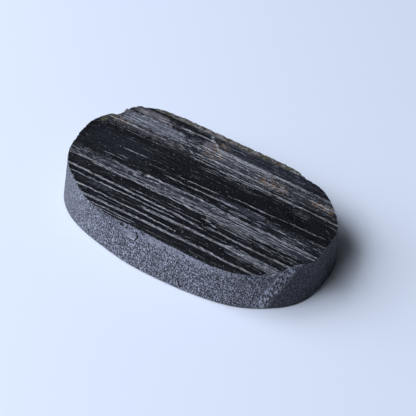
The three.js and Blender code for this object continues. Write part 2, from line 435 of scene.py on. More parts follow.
def crystal_block():
    along = np.arange(-BLOCK_HALF_LENGTH, BLOCK_HALF_LENGTH, STEP_ALONG)
    across = np.arange(-BLOCK_HALF_WIDTH, BLOCK_HALF_WIDTH, STEP_ACROSS)
    v, x = np.meshgrid(across, along, indexing="ij")
    points, faces = grid_block(x, v + grain(x), face_height(x, v), BLOCK_BELOW)
    piece = solid_object("crystal_block", points, faces)
    places, shares = zip(*FINE_SHARE)
    share = np.interp(v.ravel() / MM, places, shares)
    striated = piece.data.attributes.new("striated", "FLOAT", "POINT")
    striated.data.foreach_set("value", np.concatenate([share, 0 * share]))
    return piece


def solid_object(name, points, faces):
    mesh = bpy.data.meshes.new(name)
    mesh.from_pydata(points.tolist(), [], [list(face) for face in faces])
    mesh.update()
    piece = bpy.data.objects.new(name, mesh)
    bpy.context.scene.collection.objects.link(piece)
    return piece


block = crystal_block()
print("crystal block:", len(block.data.polygons), "faces")

# %% [markdown]
# ## Short ways to build a node tree
# Shader trees and geometry trees are built in the same way: add a node, set
# it, and link or fill its inputs. A few helpers keep the next cells short.

# %% Helpers for node trees
def put(tree, kind, inputs=(), **settings):
    """Adds a node, sets it, and links or fills its inputs."""
    node = tree.nodes.new(kind)
    for name, value in settings.items():
        setattr(node, name, value)
    for key, value in dict(inputs).items():
        if isinstance(value, bpy.types.NodeSocket):
            tree.links.new(value, node.inputs[key])
        else:
            node.inputs[key].default_value = value
    return node


def calc(tree, operation, *values):
    """A Math node's result."""
    return put(tree, "ShaderNodeMath", enumerate(values), operation=operation).outputs[0]


def times(tree, one, other):
    return calc(tree, "MULTIPLY", one, other)


def socket(tree, name, kind, value=None, output=False):
    """A named input, or output, of a tree."""
    item = tree.interface.new_socket(
        name=name, in_out="OUTPUT" if output else "INPUT", socket_type="NodeSocket" + kind
    )
    if value is not None:
        item.default_value = value
    return item


def parts(tree, vector):
    """The X, Y and Z of a vector."""
    return put(tree, "ShaderNodeSeparateXYZ", {0: vector}).outputs


def scaled(tree, vector, factor):
    """A vector made longer or shorter."""
    return put(tree, "ShaderNodeVectorMath", {0: vector, 3: factor}, operation="SCALE").outputs[0]


def stretched(tree, vector, factors):
    """A vector with each of its parts multiplied by a factor of its own."""
    return put(tree, "ShaderNodeVectorMath", {0: vector, 1: factors}, operation="MULTIPLY").outputs[0]


def clouds(tree, place, detail=2.0, rough=0.5):
    """A noise from 0 to 1, with about one swell for each unit of place."""
    return put(tree, "ShaderNodeTexNoise", {
        "Vector": place, "Scale": 1.0, "Detail": detail, "Roughness": rough,
    }).outputs[0]


# %% Helpers for spans, masks and the grain
def span(tree, value, low, high, to_low=0.0, to_high=1.0, smooth=False):
    """value mapped from one span to another, and held at its ends."""
    return put(tree, "ShaderNodeMapRange", {
        "Value": value, "From Min": low, "From Max": high, "To Min": to_low, "To Max": to_high,
    }, interpolation_type="SMOOTHSTEP" if smooth else "LINEAR").outputs["Result"]


def mask(tree, value, low, high, soft):
    """1 where value is between low and high, fading over soft."""
    rise = span(tree, value, low - soft / 2, low + soft / 2, smooth=True)
    fall = span(tree, value, high - soft / 2, high + soft / 2, 1.0, 0.0, smooth=True)
    return times(tree, rise, fall)


def across_grain(tree, x, y):
    """y with the grain's wander taken out, so that it is level along a striation."""
    bend = times(tree, times(tree, x, x), GRAIN_BOW)
    lean = times(tree, x, GRAIN_SLOPE)
    return calc(tree, "SUBTRACT", y, calc(tree, "SUBTRACT", lean, bend))


# %% [markdown]
# ## Fine striations by Geometry Nodes
# Between the main striations the face is covered with hundreds of finer ones.
# They follow a rule, so Geometry Nodes make them: a noise that is stretched
# far along the grain lifts and lowers the top of the block. A second, round
# noise roughens the weathered back edge. Sizes and the seed are inputs of the
# tree.

# %% How a geometry tree begins and ends
def geometry_tree(name, values):
    """A tree with a named input for each value, and what those inputs give."""
    tree = bpy.data.node_groups.new(name, "GeometryNodeTree")
    socket(tree, "Geometry", "Geometry")
    for title, value in values.items():
        socket(tree, title, "Float", value)
    socket(tree, "Geometry", "Geometry", output=True)
    return tree, tree.nodes.new("NodeGroupInput").outputs


def move_and_finish(tree, given, material, **move):
    """Moves the points, then realizes the mesh and gives it its material."""
    moved = put(tree, "GeometryNodeSetPosition", {"Geometry": given["Geometry"], **move})
    real = put(tree, "GeometryNodeRealizeInstances", {0: moved.outputs[0]}).outputs[0]
    finished = put(tree, "GeometryNodeSetMaterial", {"Geometry": real, "Material": material})
    tree.links.new(finished.outputs[0], tree.nodes.new("NodeGroupOutput").inputs[0])
    return tree


# %% The tree of the fine striations
FINE_STRIATIONS = {
    "Depth": 0.1 * MM, "Pitch": 0.24 * MM, "Run": 11 * MM,
    "Crust Depth": 0.55 * MM, "Crust Size": 0.8 * MM, "Seed": 4.0,
}
TOP_ABOVE = 1 * MM
BREAK_STRETCH = (4.0, 0.3, 1.0)
BREAK_NOISE = (0.36, 0.6)
BREAK_SHARE = (0.25, 1.3)


def fine_striations_tree(material):
    tree, given = geometry_tree("fine striations", FINE_STRIATIONS)
    place = parts(tree, tree.nodes.new("GeometryNodeInputPosition").outputs[0])
    v = across_grain(tree, place["X"], place["Y"])
    top = put(tree, "FunctionNodeCompare", {0: place["Z"], 1: TOP_ABOVE}, operation="GREATER_THAN")
    along_grain = put(tree, "ShaderNodeCombineXYZ", {
        "X": calc(tree, "DIVIDE", place["X"], given["Run"]),
        "Y": calc(tree, "DIVIDE", v, given["Pitch"]),
        "Z": given["Seed"],
    }).outputs[0]
    ridges = clouds(tree, along_grain, 2.0, 0.6)
    share = put(tree, "GeometryNodeInputNamedAttribute", {"Name": "striated"}).outputs[0]
    breaks = clouds(tree, stretched(tree, along_grain, BREAK_STRETCH))
    shown = span(tree, breaks, *BREAK_NOISE, *BREAK_SHARE)
    depth = times(tree, times(tree, share, shown), given["Depth"])
    ridge_height = times(tree, calc(tree, "SUBTRACT", ridges, 0.5), depth)
    level = put(tree, "ShaderNodeCombineXYZ", {"X": place["X"], "Y": v, "Z": given["Seed"]})
    round_place = scaled(tree, level.outputs[0], calc(tree, "DIVIDE", 1.0, given["Crust Size"]))
    lumps = clouds(tree, round_place, 4.0, 0.6)
    crust_height = times(tree, calc(tree, "SUBTRACT", lumps, 0.5), given["Crust Depth"])
    weathered = crust_mask(tree, place["X"], v)
    lift = calc(tree, "ADD", times(tree, ridge_height, 2.0),
                times(tree, crust_height, weathered))
    offset = put(tree, "ShaderNodeCombineXYZ", {"Z": lift}).outputs[0]
    return move_and_finish(tree, given, material, Selection=top.outputs[0], Offset=offset)


# %% Where the face is weathered
# The back edge, the foot of the back rib on the left and its middle on the right:
# limits across or along the stone and how softly they fade, in mm, and the share.
CRUST_EDGE = (9.4, 10.2)
RIB_FOOT = {"v": (4.9, 5.8, 0.5), "x": (-17, -4, 2), "share": 0.6}
RIB_MIDDLE = {"v": (5.6, 6.7, 0.4), "x": (-3, 12, 3), "share": 0.45}


def crust_mask(tree, x, v):
    weathered = span(tree, v, *(limit * MM for limit in CRUST_EDGE), smooth=True)
    for patch in (RIB_FOOT, RIB_MIDDLE):
        across = mask(tree, v, *(limit * MM for limit in patch["v"]))
        along = mask(tree, x, *(limit * MM for limit in patch["x"]))
        covered = times(tree, times(tree, across, along), patch["share"])
        weathered = calc(tree, "MAXIMUM", weathered, covered)
    return weathered


# %% Run a tree and keep its mesh
def run_nodes(piece, tree, values):
    """Puts a geometry tree on a piece, with its inputs set by identifier."""
    modifier = piece.modifiers.new(tree.name, "NODES")
    modifier.node_group = tree
    for item in tree.interface.items_tree:
        if item.in_out == "INPUT" and item.name in values:
            modifier[item.identifier] = values[item.name]


def settle(piece):
    """Replaces a piece's live modifiers by the mesh that they make."""
    seen = piece.evaluated_get(bpy.context.evaluated_depsgraph_get())
    mesh = bpy.data.meshes.new_from_object(seen)
    piece.modifiers.clear()
    piece.data = mesh

# %% [markdown]
# ## The ground blank
# The rim was ground by hand to an oval that leans in a little towards the
# top. It is a stack of rings, each a superellipse between the oval of the
# base and the oval of the rim. The hand strayed from that oval in places, and
# the corner at the front of the right end broke in: the swells say where.

# %% The rings of the blank
RING_STEPS = 640
RING_LEVELS = 46
BLANK_TOP = 9 * MM


def oval(angle, length, width, fullness):
    c, s = np.cos(angle), np.sin(angle)
    x = length / 2 * np.sign(c) * np.abs(c) ** (2 / fullness)
    y = width / 2 * np.sign(s) * np.abs(s) ** (2 / fullness)
    return x, y


def swell(angle, drawn):
    """How far the outline stands out from its oval; drawn is 0 at the base, 1 at the rim."""
    out = np.zeros_like(angle)
    for turn, spread, rim, base in SWELLS:
        away = (np.degrees(angle) - turn + 180) % 360 - 180
        share = np.cos(np.clip(away / spread, -1, 1) * math.pi / 2) ** 2
        out += share * (base + (rim - base) * drawn) * MM
    return out


def ground_ring(angle, z):
    drawn = max(z, BASE_CHAMFER) / RIM_LEVEL
    cut = max(BASE_CHAMFER - z, 0)
    length = BASE_LENGTH + (RIM_LENGTH - BASE_LENGTH) * drawn
    width = BASE_WIDTH + (RIM_WIDTH - BASE_WIDTH) * drawn
    fullness = BASE_FULLNESS + (RIM_FULLNESS - BASE_FULLNESS) * drawn
    x, y = oval(angle, length, width, fullness)
    outward = np.stack([width * np.cos(angle), length * np.sin(angle)])
    outward /= np.hypot(*outward)
    return (x, y) + outward * (swell(angle, drawn) - cut)


def ground_blank():
    angle = np.linspace(0, 2 * math.pi, RING_STEPS, endpoint=False)
    levels = [0, BASE_CHAMFER / 2, *np.linspace(BASE_CHAMFER, BLANK_TOP, RING_LEVELS)]
    rings = []
    for z in levels:
        x, y = ground_ring(angle, z)
        rings.append(np.stack([x, y, np.full_like(x, z)], axis=-1))
    points = np.concatenate([*rings, [[0, 0, 0]], [[0, 0, BLANK_TOP]]])
    place = np.arange(len(levels) * RING_STEPS).reshape(len(levels), RING_STEPS)
    ahead = np.roll(place, -1, axis=1)
    walls = np.stack([place[:-1], ahead[:-1], ahead[1:], place[1:]], axis=-1).reshape(-1, 4)
    foot, peak = place.size, place.size + 1
    base = [(foot, after, here) for here, after in zip(place[0], ahead[0])]
    lid = [(peak, here, after) for here, after in zip(place[-1], ahead[-1])]
    return solid_object("ground_blank", points, [*walls.tolist(), *base, *lid])


blank = ground_blank()
print("ground blank:", len(blank.data.polygons), "faces")

# %% [markdown]
# ## Marks of hand grinding
# A wall ground on a flat lap by hand is never quite even: it has broad soft
# facets and a fine pitted skin, and small flakes have sprung off along its
# upper edge. Geometry Nodes push the wall in and out by three sizes of noise,
# and leave the base flat, where the stone rests.

# %% The tree of the grinding marks
GRINDING_MARKS = {
    "Facet Depth": 0.16 * MM, "Facet Size": 5 * MM,
    "Pit Depth": 0.11 * MM, "Pit Size": 0.45 * MM,
    "Nick Depth": 0.35 * MM, "Nick Size": 0.6 * MM, "Seed": 7.0,
}
# The push begins above the foot; nicks begin under the rim; noise past which a nick opens.
PUSH_FROM = (0.1 * MM, 0.5 * MM)
NICKS_FROM = (RIM_LEVEL - 0.9 * MM, RIM_LEVEL + 0.3 * MM)
NICK_NOISE = (0.06, 0.2)


def grinding_tree(material):
    tree, given = geometry_tree("grinding marks", GRINDING_MARKS)
    position = tree.nodes.new("GeometryNodeInputPosition").outputs[0]
    place = parts(tree, position)

    def rough(size, detail):
        made = put(tree, "ShaderNodeTexNoise", {
            "Vector": scaled(tree, position, calc(tree, "DIVIDE", 1.0, given[size])),
            "W": given["Seed"], "Scale": 1.0, "Detail": detail, "Roughness": 0.6,
        }, noise_dimensions="4D").outputs[0]
        return calc(tree, "SUBTRACT", made, 0.5)

    facets = times(tree, rough("Facet Size", 1.0), given["Facet Depth"])
    pits = times(tree, rough("Pit Size", 3.0), given["Pit Depth"])
    flaked = span(tree, rough("Nick Size", 2.0), *NICK_NOISE)
    edge = span(tree, place["Z"], *NICKS_FROM)
    nicks = times(tree, times(tree, flaked, edge), given["Nick Depth"])
    out = calc(tree, "SUBTRACT", calc(tree, "ADD", facets, pits), nicks)
    push = times(tree, out, span(tree, place["Z"], *PUSH_FROM))
    flat = put(tree, "ShaderNodeCombineXYZ", {"X": place["X"], "Y": place["Y"]}).outputs[0]
    outward = put(tree, "ShaderNodeVectorMath", {0: flat}, operation="NORMALIZE").outputs[0]
    return move_and_finish(tree, given, material, Offset=scaled(tree, outward, push))


# %% [markdown]
# ## Chips and cracks
# Where a flake sprang off the ground edge it left a smooth shell-shaped
# scar. Each scar is cut by the lump that left it: a ball, squeezed and
# turned, with shallow ripples like those of broken glass. A crack or a pit is
# the same ball squeezed thin or small. It is cut apart from the scars, so
# that it can have a darker material: painted shade in the narrow recess.

# %% The lumps
CHIPS = [
    {"at": (-4.3, -11.28, 4.93), "size": (1.95, 0.4, 0.68), "turn": (0.12, 0.22, 0.0)},
    {"at": (14.6, -8.4, 5.9), "size": (1.5, 0.7, 0.5), "turn": (0.5, 0.25, 0.7)},
    {"at": (16.9, -5.2, 5.7), "size": (0.8, 0.5, 0.4), "turn": (0.4, 0.2, 1.1)},
    {"at": (-17.2, 6.4, 7.1), "size": (0.9, 0.6, 0.55), "turn": (0, 0, 0.6)},
]
# Three thin lumps make the crescent at the end of the front scar, one the crack
# at the foot, and three small ones the pits under the rim.
CRACKS = [
    {"at": (-2.66, -11.05, 5.38), "size": (0.13, 0.6, 0.32), "turn": (0, -0.77, 0)},
    {"at": (-2.5, -11.1, 4.95), "size": (0.15, 0.6, 0.4), "turn": (0, 0, 0)},
    {"at": (-2.7, -11.2, 4.42), "size": (0.11, 0.5, 0.42), "turn": (0, 0.48, 0)},
    {"at": (4.2, -11.7, 0.75), "size": (0.09, 0.45, 0.6), "turn": (0, -0.41, 0)},
    {"at": (-5.0, -11.05, 5.6), "size": (0.28, 0.3, 0.14), "turn": (0, 0.3, 0)},
    {"at": (-4.3, -11.05, 5.5), "size": (0.16, 0.3, 0.12), "turn": (0, 0, 0)},
    {"at": (-7.4, -11.0, 5.95), "size": (0.3, 0.25, 0.12), "turn": (0, 0.2, 0)},
]
RIPPLE = 0.02
RIPPLES = (9, 5, 4)
LUMP_FINENESS = 4
print("scars:", len(CHIPS), "cracks and pits:", len(CRACKS))


# %% A lump for each
def chip_lumps(name, chips, material):
    shell = bmesh.new()
    for chip in chips:
        turned = Matrix.LocRotScale(
            Vector(chip["at"]) * MM,
            Matrix.Rotation(chip["turn"][2], 3, "Z")
            @ Matrix.Rotation(chip["turn"][1], 3, "Y")
            @ Matrix.Rotation(chip["turn"][0], 3, "X"),
            Vector(chip["size"]) * MM,
        )
        ball = bmesh.ops.create_icosphere(shell, subdivisions=LUMP_FINENESS, radius=1)
        for vert in ball["verts"]:
            x, y, z = (turns * part for turns, part in zip(RIPPLES, vert.co))
            swing = math.sin(x + z) * math.cos(y)
            vert.co = turned @ (vert.co * (1 + RIPPLE * swing))
    mesh = bpy.data.meshes.new(name)
    shell.to_mesh(mesh)
    shell.free()
    mesh.materials.append(material)
    lumps = bpy.data.objects.new(name, mesh)
    bpy.context.scene.collection.objects.link(lumps)
    return lumps

# %% [markdown]
# ## Materials
# The stone is one mineral in four finishes. The grown face is glossy and
# black, and shows the colour only of the light that it reflects, besides its
# stains and patches of painted sheen. The ground rim scatters light on its fine
# scratches, so the same black looks grey. The scars are fresh and smooth, and
# the cracks are painted near black as the shade in their narrow recesses. All
# four take their place on the stone from the first group below.

# %% The place of a point, as a shader group
def group(name, inputs, outputs):
    """An empty shader group with its named sockets."""
    tree = bpy.data.node_groups.new(name, "ShaderNodeTree")
    for title, kind, value in inputs:
        socket(tree, title, kind, value)
    for title, kind in outputs:
        socket(tree, title, kind, output=True)
    return tree, tree.nodes.new("NodeGroupInput").outputs, tree.nodes.new("NodeGroupOutput").inputs


def grain_place_group():
    """Object coordinates in mm: along the grain, across it, and up."""
    tree, _, out = group("grain place", [], [("Place", "Vector")])
    place = parts(tree, tree.nodes.new("ShaderNodeTexCoord").outputs["Object"])
    v = across_grain(tree, place["X"], place["Y"])
    level = put(tree, "ShaderNodeCombineXYZ", {"X": place["X"], "Y": v, "Z": place["Z"]})
    tree.links.new(scaled(tree, level.outputs[0], 1 / MM), out["Place"])
    return tree


# Noise past which a spot opens when its share is 0, and how far the share lowers it.
NO_SPOTS = 0.78
SPOTS_FOR_SHARE = 0.8


def speckle_group():
    """Small scattered spots: 1 inside a spot, 0 outside."""
    tree, given, out = group(
        "speckle",
        [("Place", "Vector", None), ("Size", "Float", 0.2), ("Share", "Float", 0.1),
         ("Soft", "Float", 0.1)],
        [("Mask", "Float")],
    )
    spotted = clouds(tree, scaled(tree, given["Place"], calc(tree, "DIVIDE", 1.0, given["Size"])))
    low = calc(tree, "SUBTRACT", NO_SPOTS, times(tree, given["Share"], SPOTS_FOR_SHARE))
    spots = span(tree, spotted, low, calc(tree, "ADD", low, given["Soft"]))
    tree.links.new(spots, out["Mask"])
    return tree


GRAIN_PLACE = grain_place_group()
SPECKLE = speckle_group()
print("shader groups:", GRAIN_PLACE.name, "and", SPECKLE.name)

# %% Helpers for materials
def material(name, **values):
    """A material with a plain Principled shader; values set its sockets."""
    made = bpy.data.materials.new(name)
    made.use_nodes = True
    shader = made.node_tree.nodes["Principled BSDF"]
    for title, value in values.items():
        shader.inputs[title.replace("_", " ")].default_value = value
    return made, made.node_tree, shader


def use(tree, shader_group, inputs=()):
    """Places a shader group in a material, and gives its outputs."""
    return put(tree, "ShaderNodeGroup", inputs, node_tree=shader_group).outputs


# Where a Mix node keeps its two colours and its result.
MIX_BELOW = 6
MIX_ABOVE = 7
MIX_RESULT = 2


def mix(tree, share, below, above):
    """A colour between two colours."""
    node = put(tree, "ShaderNodeMix", {"Factor": share}, data_type="RGBA")
    for index, value in ((MIX_BELOW, below), (MIX_ABOVE, above)):
        if isinstance(value, bpy.types.NodeSocket):
            tree.links.new(value, node.inputs[index])
        else:
            node.inputs[index].default_value = (*value, 1)
    return node.outputs[MIX_RESULT]


def noise(tree, place, swells, detail=2.0, rough=0.5):
    """A noise from 0 to 1, with so many swells to the mm along, across and up."""
    return clouds(tree, stretched(tree, place, swells), detail, rough)


def relief(tree, shader, height, depth):
    """A bump that is depth high where height goes from 0 to 1."""
    bump = put(tree, "ShaderNodeBump", {"Height": height, "Strength": 1.0, "Distance": depth})
    tree.links.new(bump.outputs[0], shader.inputs["Normal"])

# %% [markdown]
# ## The grown face
# Black tourmaline takes in nearly all light, so its base colour is close to
# black and the gloss does the work. Roughness and a fine bump change in thin
# streaks along the grain. Patches of paler grey and blue grey are painted
# sheen, where glossy layers catch the light; some layers are pinkish. The
# weathered back edge is pale with olive between, rust sits in specks on the
# rib, and pale dust in small spots all over.

# %% The colours of the grown face
BLACK = (0.004, 0.004, 0.0052)
SOOT = (0.0105, 0.011, 0.0138)
RUST = (0.27, 0.16, 0.085)
OLIVE = (0.072, 0.078, 0.028)
RIM_PALE = (0.25, 0.222, 0.215)
PINKISH = (0.135, 0.118, 0.122)
# The next three greys are painted sheen: paler greys where glossy layers catch the light.
PLATE_SHEEN = (0.115, 0.122, 0.142)
GREY_SHEEN = (0.075, 0.077, 0.084)
BLUE_SHEEN = (0.042, 0.045, 0.056)
DUST = (0.30, 0.30, 0.34)

# Places of painted sheen and of stains: x and v of the middle, half sizes in mm, colour, share.
PATCHES = [
    (-10.6, 6.7, 5.4, 0.85, PLATE_SHEEN, 0.95),
    (-11.8, 8.25, 2.8, 0.6, PINKISH, 0.9),
    (-10.5, 5.3, 5.6, 0.5, PINKISH, 0.35),
    (1.5, 6.4, 5.5, 0.9, GREY_SHEEN, 0.85),
    (11.0, 6.3, 5.0, 0.8, GREY_SHEEN, 0.35),
    (2.0, 5.3, 5.0, 0.45, GREY_SHEEN, 0.5),
    (1.5, 7.5, 4.5, 0.3, PLATE_SHEEN, 0.4),
    (5.0, 8.3, 8.5, 0.8, BLUE_SHEEN, 0.55),
    (1.0, 9.2, 7.0, 0.3, GREY_SHEEN, 0.75),
    (12.5, -2.9, 5.5, 0.75, GREY_SHEEN, 0.4),
    (-17.75, 4.6, 0.4, 0.6, OLIVE, 0.8),
    (-16.9, 5.6, 0.5, 0.4, OLIVE, 0.8),
    (-16.0, 7.3, 0.4, 0.9, OLIVE, 0.8),
    (-15.0, 8.7, 0.6, 0.45, OLIVE, 0.8),
    (-15.5, 5.5, 1.0, 0.45, RUST, 0.9),
    (-10.5, -7.1, 1.4, 0.4, BLUE_SHEEN, 0.8),
    (-3.2, 7.35, 0.9, 0.8, PINKISH, 1.0),
    (-1.7, 7.1, 1.5, 1.4, RUST, 0.9),
    (7.3, 6.0, 2.4, 0.7, RUST, 0.8),
    (14.8, 6.25, 1.8, 0.5, RUST, 0.8),
    (3.5, 9.9, 7.0, 0.4, RUST, 0.6),
    (6.0, -0.35, 3.4, 0.55, BLUE_SHEEN, 0.9),
    (12.5, -7.3, 3.0, 0.55, BLUE_SHEEN, 0.7),
    (1.0, -3.0, 18.0, 0.75, BLUE_SHEEN, 0.75),
    (-13.0, 0.8, 5.0, 2.4, BLUE_SHEEN, 0.3),
    (12.0, -1.0, 6.0, 0.8, BLUE_SHEEN, 0.5),
]


# %% A group for places of painted sheen and of stains
SQUARENESS = 4.0
PATCH_EDGE = (0.75, 1.15)


def patch_group():
    """A ragged patch, between an oval and a box: 1 in its middle, 0 outside."""
    tree, given, out = group(
        "ragged patch",
        [("Place", "Vector", None), ("X", "Float", 0.0), ("V", "Float", 0.0),
         ("Along", "Float", 1.0), ("Across", "Float", 1.0), ("Blotch", "Float", 0.5),
         ("Rag", "Float", 1.0)],
        [("Mask", "Float")],
    )
    part = parts(tree, given["Place"])
    along = calc(tree, "DIVIDE", calc(tree, "SUBTRACT", part["X"], given["X"]), given["Along"])
    across = calc(tree, "DIVIDE", calc(tree, "SUBTRACT", part["Y"], given["V"]), given["Across"])
    corner = calc(tree, "ADD", *(
        calc(tree, "POWER", calc(tree, "ABSOLUTE", side), SQUARENESS) for side in (along, across)
    ))
    reach = calc(tree, "POWER", corner, 1 / SQUARENESS)
    blotch = calc(tree, "SUBTRACT", given["Blotch"], 0.5)
    ragged = calc(tree, "ADD", reach, times(tree, blotch, given["Rag"]))
    tree.links.new(span(tree, ragged, *PATCH_EDGE, 1.0, 0.0), out["Mask"])
    return tree


PATCH = patch_group()
print("patches:", len(PATCHES))


# %% The noises of the grown face
# Swells to the mm along, across and up, then detail and roughness.
STREAKS = ((0.3, 5.0, 1.0), 4.0, 0.65)
GRAINS = ((3.2, 3.2, 3.2), 3.0, 0.7)
BLOTCHES = ((1.4, 2.6, 1.4), 4.0, 0.65)
FLECKS = ((2.2, 3.4, 2.2), 4.0, 0.75)
LUMPS = ((1.9, 1.6, 1.6), 4.0, 0.75)
HAIRS = ((0.22, 5.5, 1.0), 3.0, 0.65)
HAIR_DEPTH = 0.085 * MM
PATCH_RAG = 1.8
CRUST_FROM = (9.25, 9.6)
OUTER_CRUST_FROM = (10.15, 10.5)
CRUST_ROUGHER = 0.25
FACE_ROUGHNESS = (0.14, 0.32)
DUST_SPOTS = ((0.3, 0.11), (0.2, 0.1))
DUST_SOFT = 0.06
print("dust spots, mm:", [size for size, share in DUST_SPOTS])


# %% The colour of the grown face
def stains_and_sheen(tree, place, streaks, grains):
    """Black with soot in streaks and grains, and over it the stains and the patches of painted sheen.
    """
    colour = mix(tree, span(tree, streaks, 0.44, 0.66), BLACK, SOOT)
    colour = mix(tree, span(tree, grains, 0.48, 0.68), colour, SOOT)
    blotch = noise(tree, place, *BLOTCHES)
    flecks = noise(tree, place, *FLECKS)
    # The patches, painted sheen and stains alike, are broken up by the grains.
    patchy = span(tree, grains, 0.38, 0.56, 0.35, 1.0)
    stained = span(tree, flecks, 0.52, 0.6)
    for x, v, along, across, tint, share in PATCHES:
        inside = use(tree, PATCH, {
            "Place": place, "X": x, "V": v, "Along": along, "Across": across,
            "Blotch": blotch, "Rag": PATCH_RAG,
        })["Mask"]
        inside = times(tree, inside, stained if tint is RUST else patchy)
        colour = mix(tree, times(tree, inside, share), colour, tint)
    return colour, blotch, flecks


def crusted_edge(tree, place, colour, blotch, flecks):
    """The weathered back edge: olive, then pale lumps, then olive again outside."""
    v = parts(tree, place)["Y"]
    crust = span(tree, v, *CRUST_FROM)
    crusty = times(tree, crust, span(tree, blotch, 0.42, 0.56))
    colour = mix(tree, crusty, colour, OLIVE)
    lumpy = noise(tree, place, *LUMPS)
    pale = times(tree, crust, span(tree, lumpy, 0.48, 0.55))
    colour = mix(tree, pale, colour, RIM_PALE)
    outer = span(tree, v, *OUTER_CRUST_FROM)
    mossy = times(tree, outer, span(tree, flecks, 0.4, 0.55))
    return mix(tree, mossy, colour, OLIVE), crust


# %% The grown face's material
def grown_face_material():
    made, tree, shader = material("grown_face", Roughness=0.3, IOR=1.64)
    place = use(tree, GRAIN_PLACE)["Place"]
    streaks = noise(tree, place, *STREAKS)
    grains = noise(tree, place, *GRAINS)
    colour, blotch, flecks = stains_and_sheen(tree, place, streaks, grains)
    colour, crust = crusted_edge(tree, place, colour, blotch, flecks)
    for size, share in DUST_SPOTS:
        spots = {"Place": place, "Size": size, "Share": share, "Soft": DUST_SOFT}
        colour = mix(tree, use(tree, SPECKLE, spots)["Mask"], colour, DUST)
    tree.links.new(colour, shader.inputs["Base Color"])
    rough = span(tree, streaks, 0.35, 0.75, *FACE_ROUGHNESS)
    rough = calc(tree, "ADD", rough, times(tree, crust, CRUST_ROUGHER))
    tree.links.new(rough, shader.inputs["Roughness"])
    relief(tree, shader, noise(tree, place, *HAIRS), HAIR_DEPTH)
    return made


# %% [markdown]
# ## The ground rim
# Grinding leaves a skin of tiny scratches and pits. It scatters the light, so
# the black stone looks slate grey, with a strong grain of pale and dark
# specks where a pit happens to face the lamp or turns away from it; these are
# painted glints and painted shade. The left end is ground more evenly. The
# right end, turned away from the lamps, is painted darker as shade. Between
# the front and the right end the corner broke in pale flakes, and a worn strip
# runs under the rim. A thin dark band painted along the foot is the shadow
# where the stone meets the sheet.

# %% Colours, noises and places of the ground rim
SLATE_DARK = (0.010, 0.0105, 0.0135)
SLATE = (0.068, 0.07, 0.085)
SLATE_PALE = (0.54, 0.555, 0.64)
SLATE_EVEN = (0.09, 0.093, 0.114)
SLATE_WORN = (0.3, 0.305, 0.355)
# The darkest slate is painted shade on the right end, which faces away from the lamps.
SHADE_SLATE = (0.03, 0.031, 0.038)

GRIT = ((5.9, 5.9, 4.6), 3.0, 0.8)
MOTTLE = ((0.8, 0.8, 0.8), 3.0, 0.6)
FLAKES = ((4.0, 4.0, 1.6), 3.0, 0.75)
GRIT_DEPTH = 0.1 * MM

# Places in mm: rightward, frontward or up; a third number is how softly they fade.
LEFT_END = (-17.5, -9.0)
SHADED_RIGHT_END = (12.8, 14.2)
CORNER = (13.4, 14.9, 0.7)
CORNER_LEAN = 0.4
FRONT = (0.0, -2.0)
WORN_ALONG = (-3.0, 11.0, 3.0)
WORN_UP = (4.9, 5.9, 0.7)
# Below this height the wall is painted dark: the contact shadow where the stone meets the sheet.
FOOT_SHADOW = (0.11, 0.22)
print("grit, swells to the mm:", GRIT[0])


# %% The ground rim's material
def ground_rim_material():
    made, tree, shader = material("ground_rim", Roughness=0.8, IOR=1.45)
    place = use(tree, GRAIN_PLACE)["Place"]
    part = parts(tree, place)
    grit = noise(tree, place, *GRIT)
    # The dark and pale specks of the grit are painted shade and painted glints of the pits, over the
    # slate grey of the ground skin.
    colour = mix(tree, span(tree, grit, 0.42, 0.51), SLATE_DARK, SLATE)
    colour = mix(tree, span(tree, grit, 0.51, 0.6), colour, SLATE_PALE)
    mottle = span(tree, noise(tree, place, *MOTTLE), 0.4, 0.7, 0.0, 0.3)
    even = calc(tree, "MAXIMUM", span(tree, part["X"], *LEFT_END, 0.62, 0.0), mottle)
    colour = mix(tree, even, colour, SLATE_EVEN)
    colour = broken_corner(tree, place, part, colour)
    # Painted contact shadow along the foot.
    colour = mix(tree, span(tree, part["Z"], *FOOT_SHADOW, 0.85, 0.0), colour, SLATE_DARK)
    tree.links.new(colour, shader.inputs["Base Color"])
    tree.links.new(span(tree, grit, 0.3, 0.7, 0.9, 0.6), shader.inputs["Roughness"])
    relief(tree, shader, grit, GRIT_DEPTH)
    return made


def broken_corner(tree, place, part, colour):
    """The right end darkened as painted shade, the pale flakes of its corner, and the strip under the
    rim.
    """
    leaning = calc(tree, "SUBTRACT", part["X"], times(tree, part["Z"], CORNER_LEAN))
    # The right end is painted darker: it is in shade, turned away from the lamps.
    right_end_shade = times(tree, span(tree, leaning, *SHADED_RIGHT_END), 0.72)
    colour = mix(tree, right_end_shade, colour, SHADE_SLATE)
    flakes = noise(tree, place, *FLAKES)
    corner = times(tree, mask(tree, leaning, *CORNER), span(tree, part["Y"], *FRONT))
    pale = times(tree, corner, span(tree, flakes, 0.5, 0.54))
    colour = mix(tree, pale, colour, SLATE_PALE)
    strip = times(tree, mask(tree, part["X"], *WORN_ALONG), mask(tree, part["Z"], *WORN_UP))
    patchy = times(tree, strip, span(tree, flakes, 0.42, 0.6))
    return mix(tree, patchy, colour, SLATE_WORN)


# %% The material of the scars and the cracks
def clouded_material(name, roughness, ior, swells, limits, below, above):
    """A material that drifts from one colour to another."""
    made, tree, shader = material(name, Roughness=roughness, IOR=ior)
    clouded = noise(tree, use(tree, GRAIN_PLACE)["Place"], *swells)
    colour = mix(tree, span(tree, clouded, *limits), below, above)
    tree.links.new(colour, shader.inputs["Base Color"])
    return made


# %% Make the four materials
SCAR_HAZE = ((2.0, 2.0, 5.0), 3.0)
CRACK_SHADE_CLOUDS = ((3.0, 3.0, 3.0),)
GROWN_FACE = grown_face_material()
GROUND_RIM = ground_rim_material()
FRESH_SCAR = clouded_material("fresh_scar", 0.35, 1.64, SCAR_HAZE, (0.3, 0.7), SLATE, SLATE_WORN)
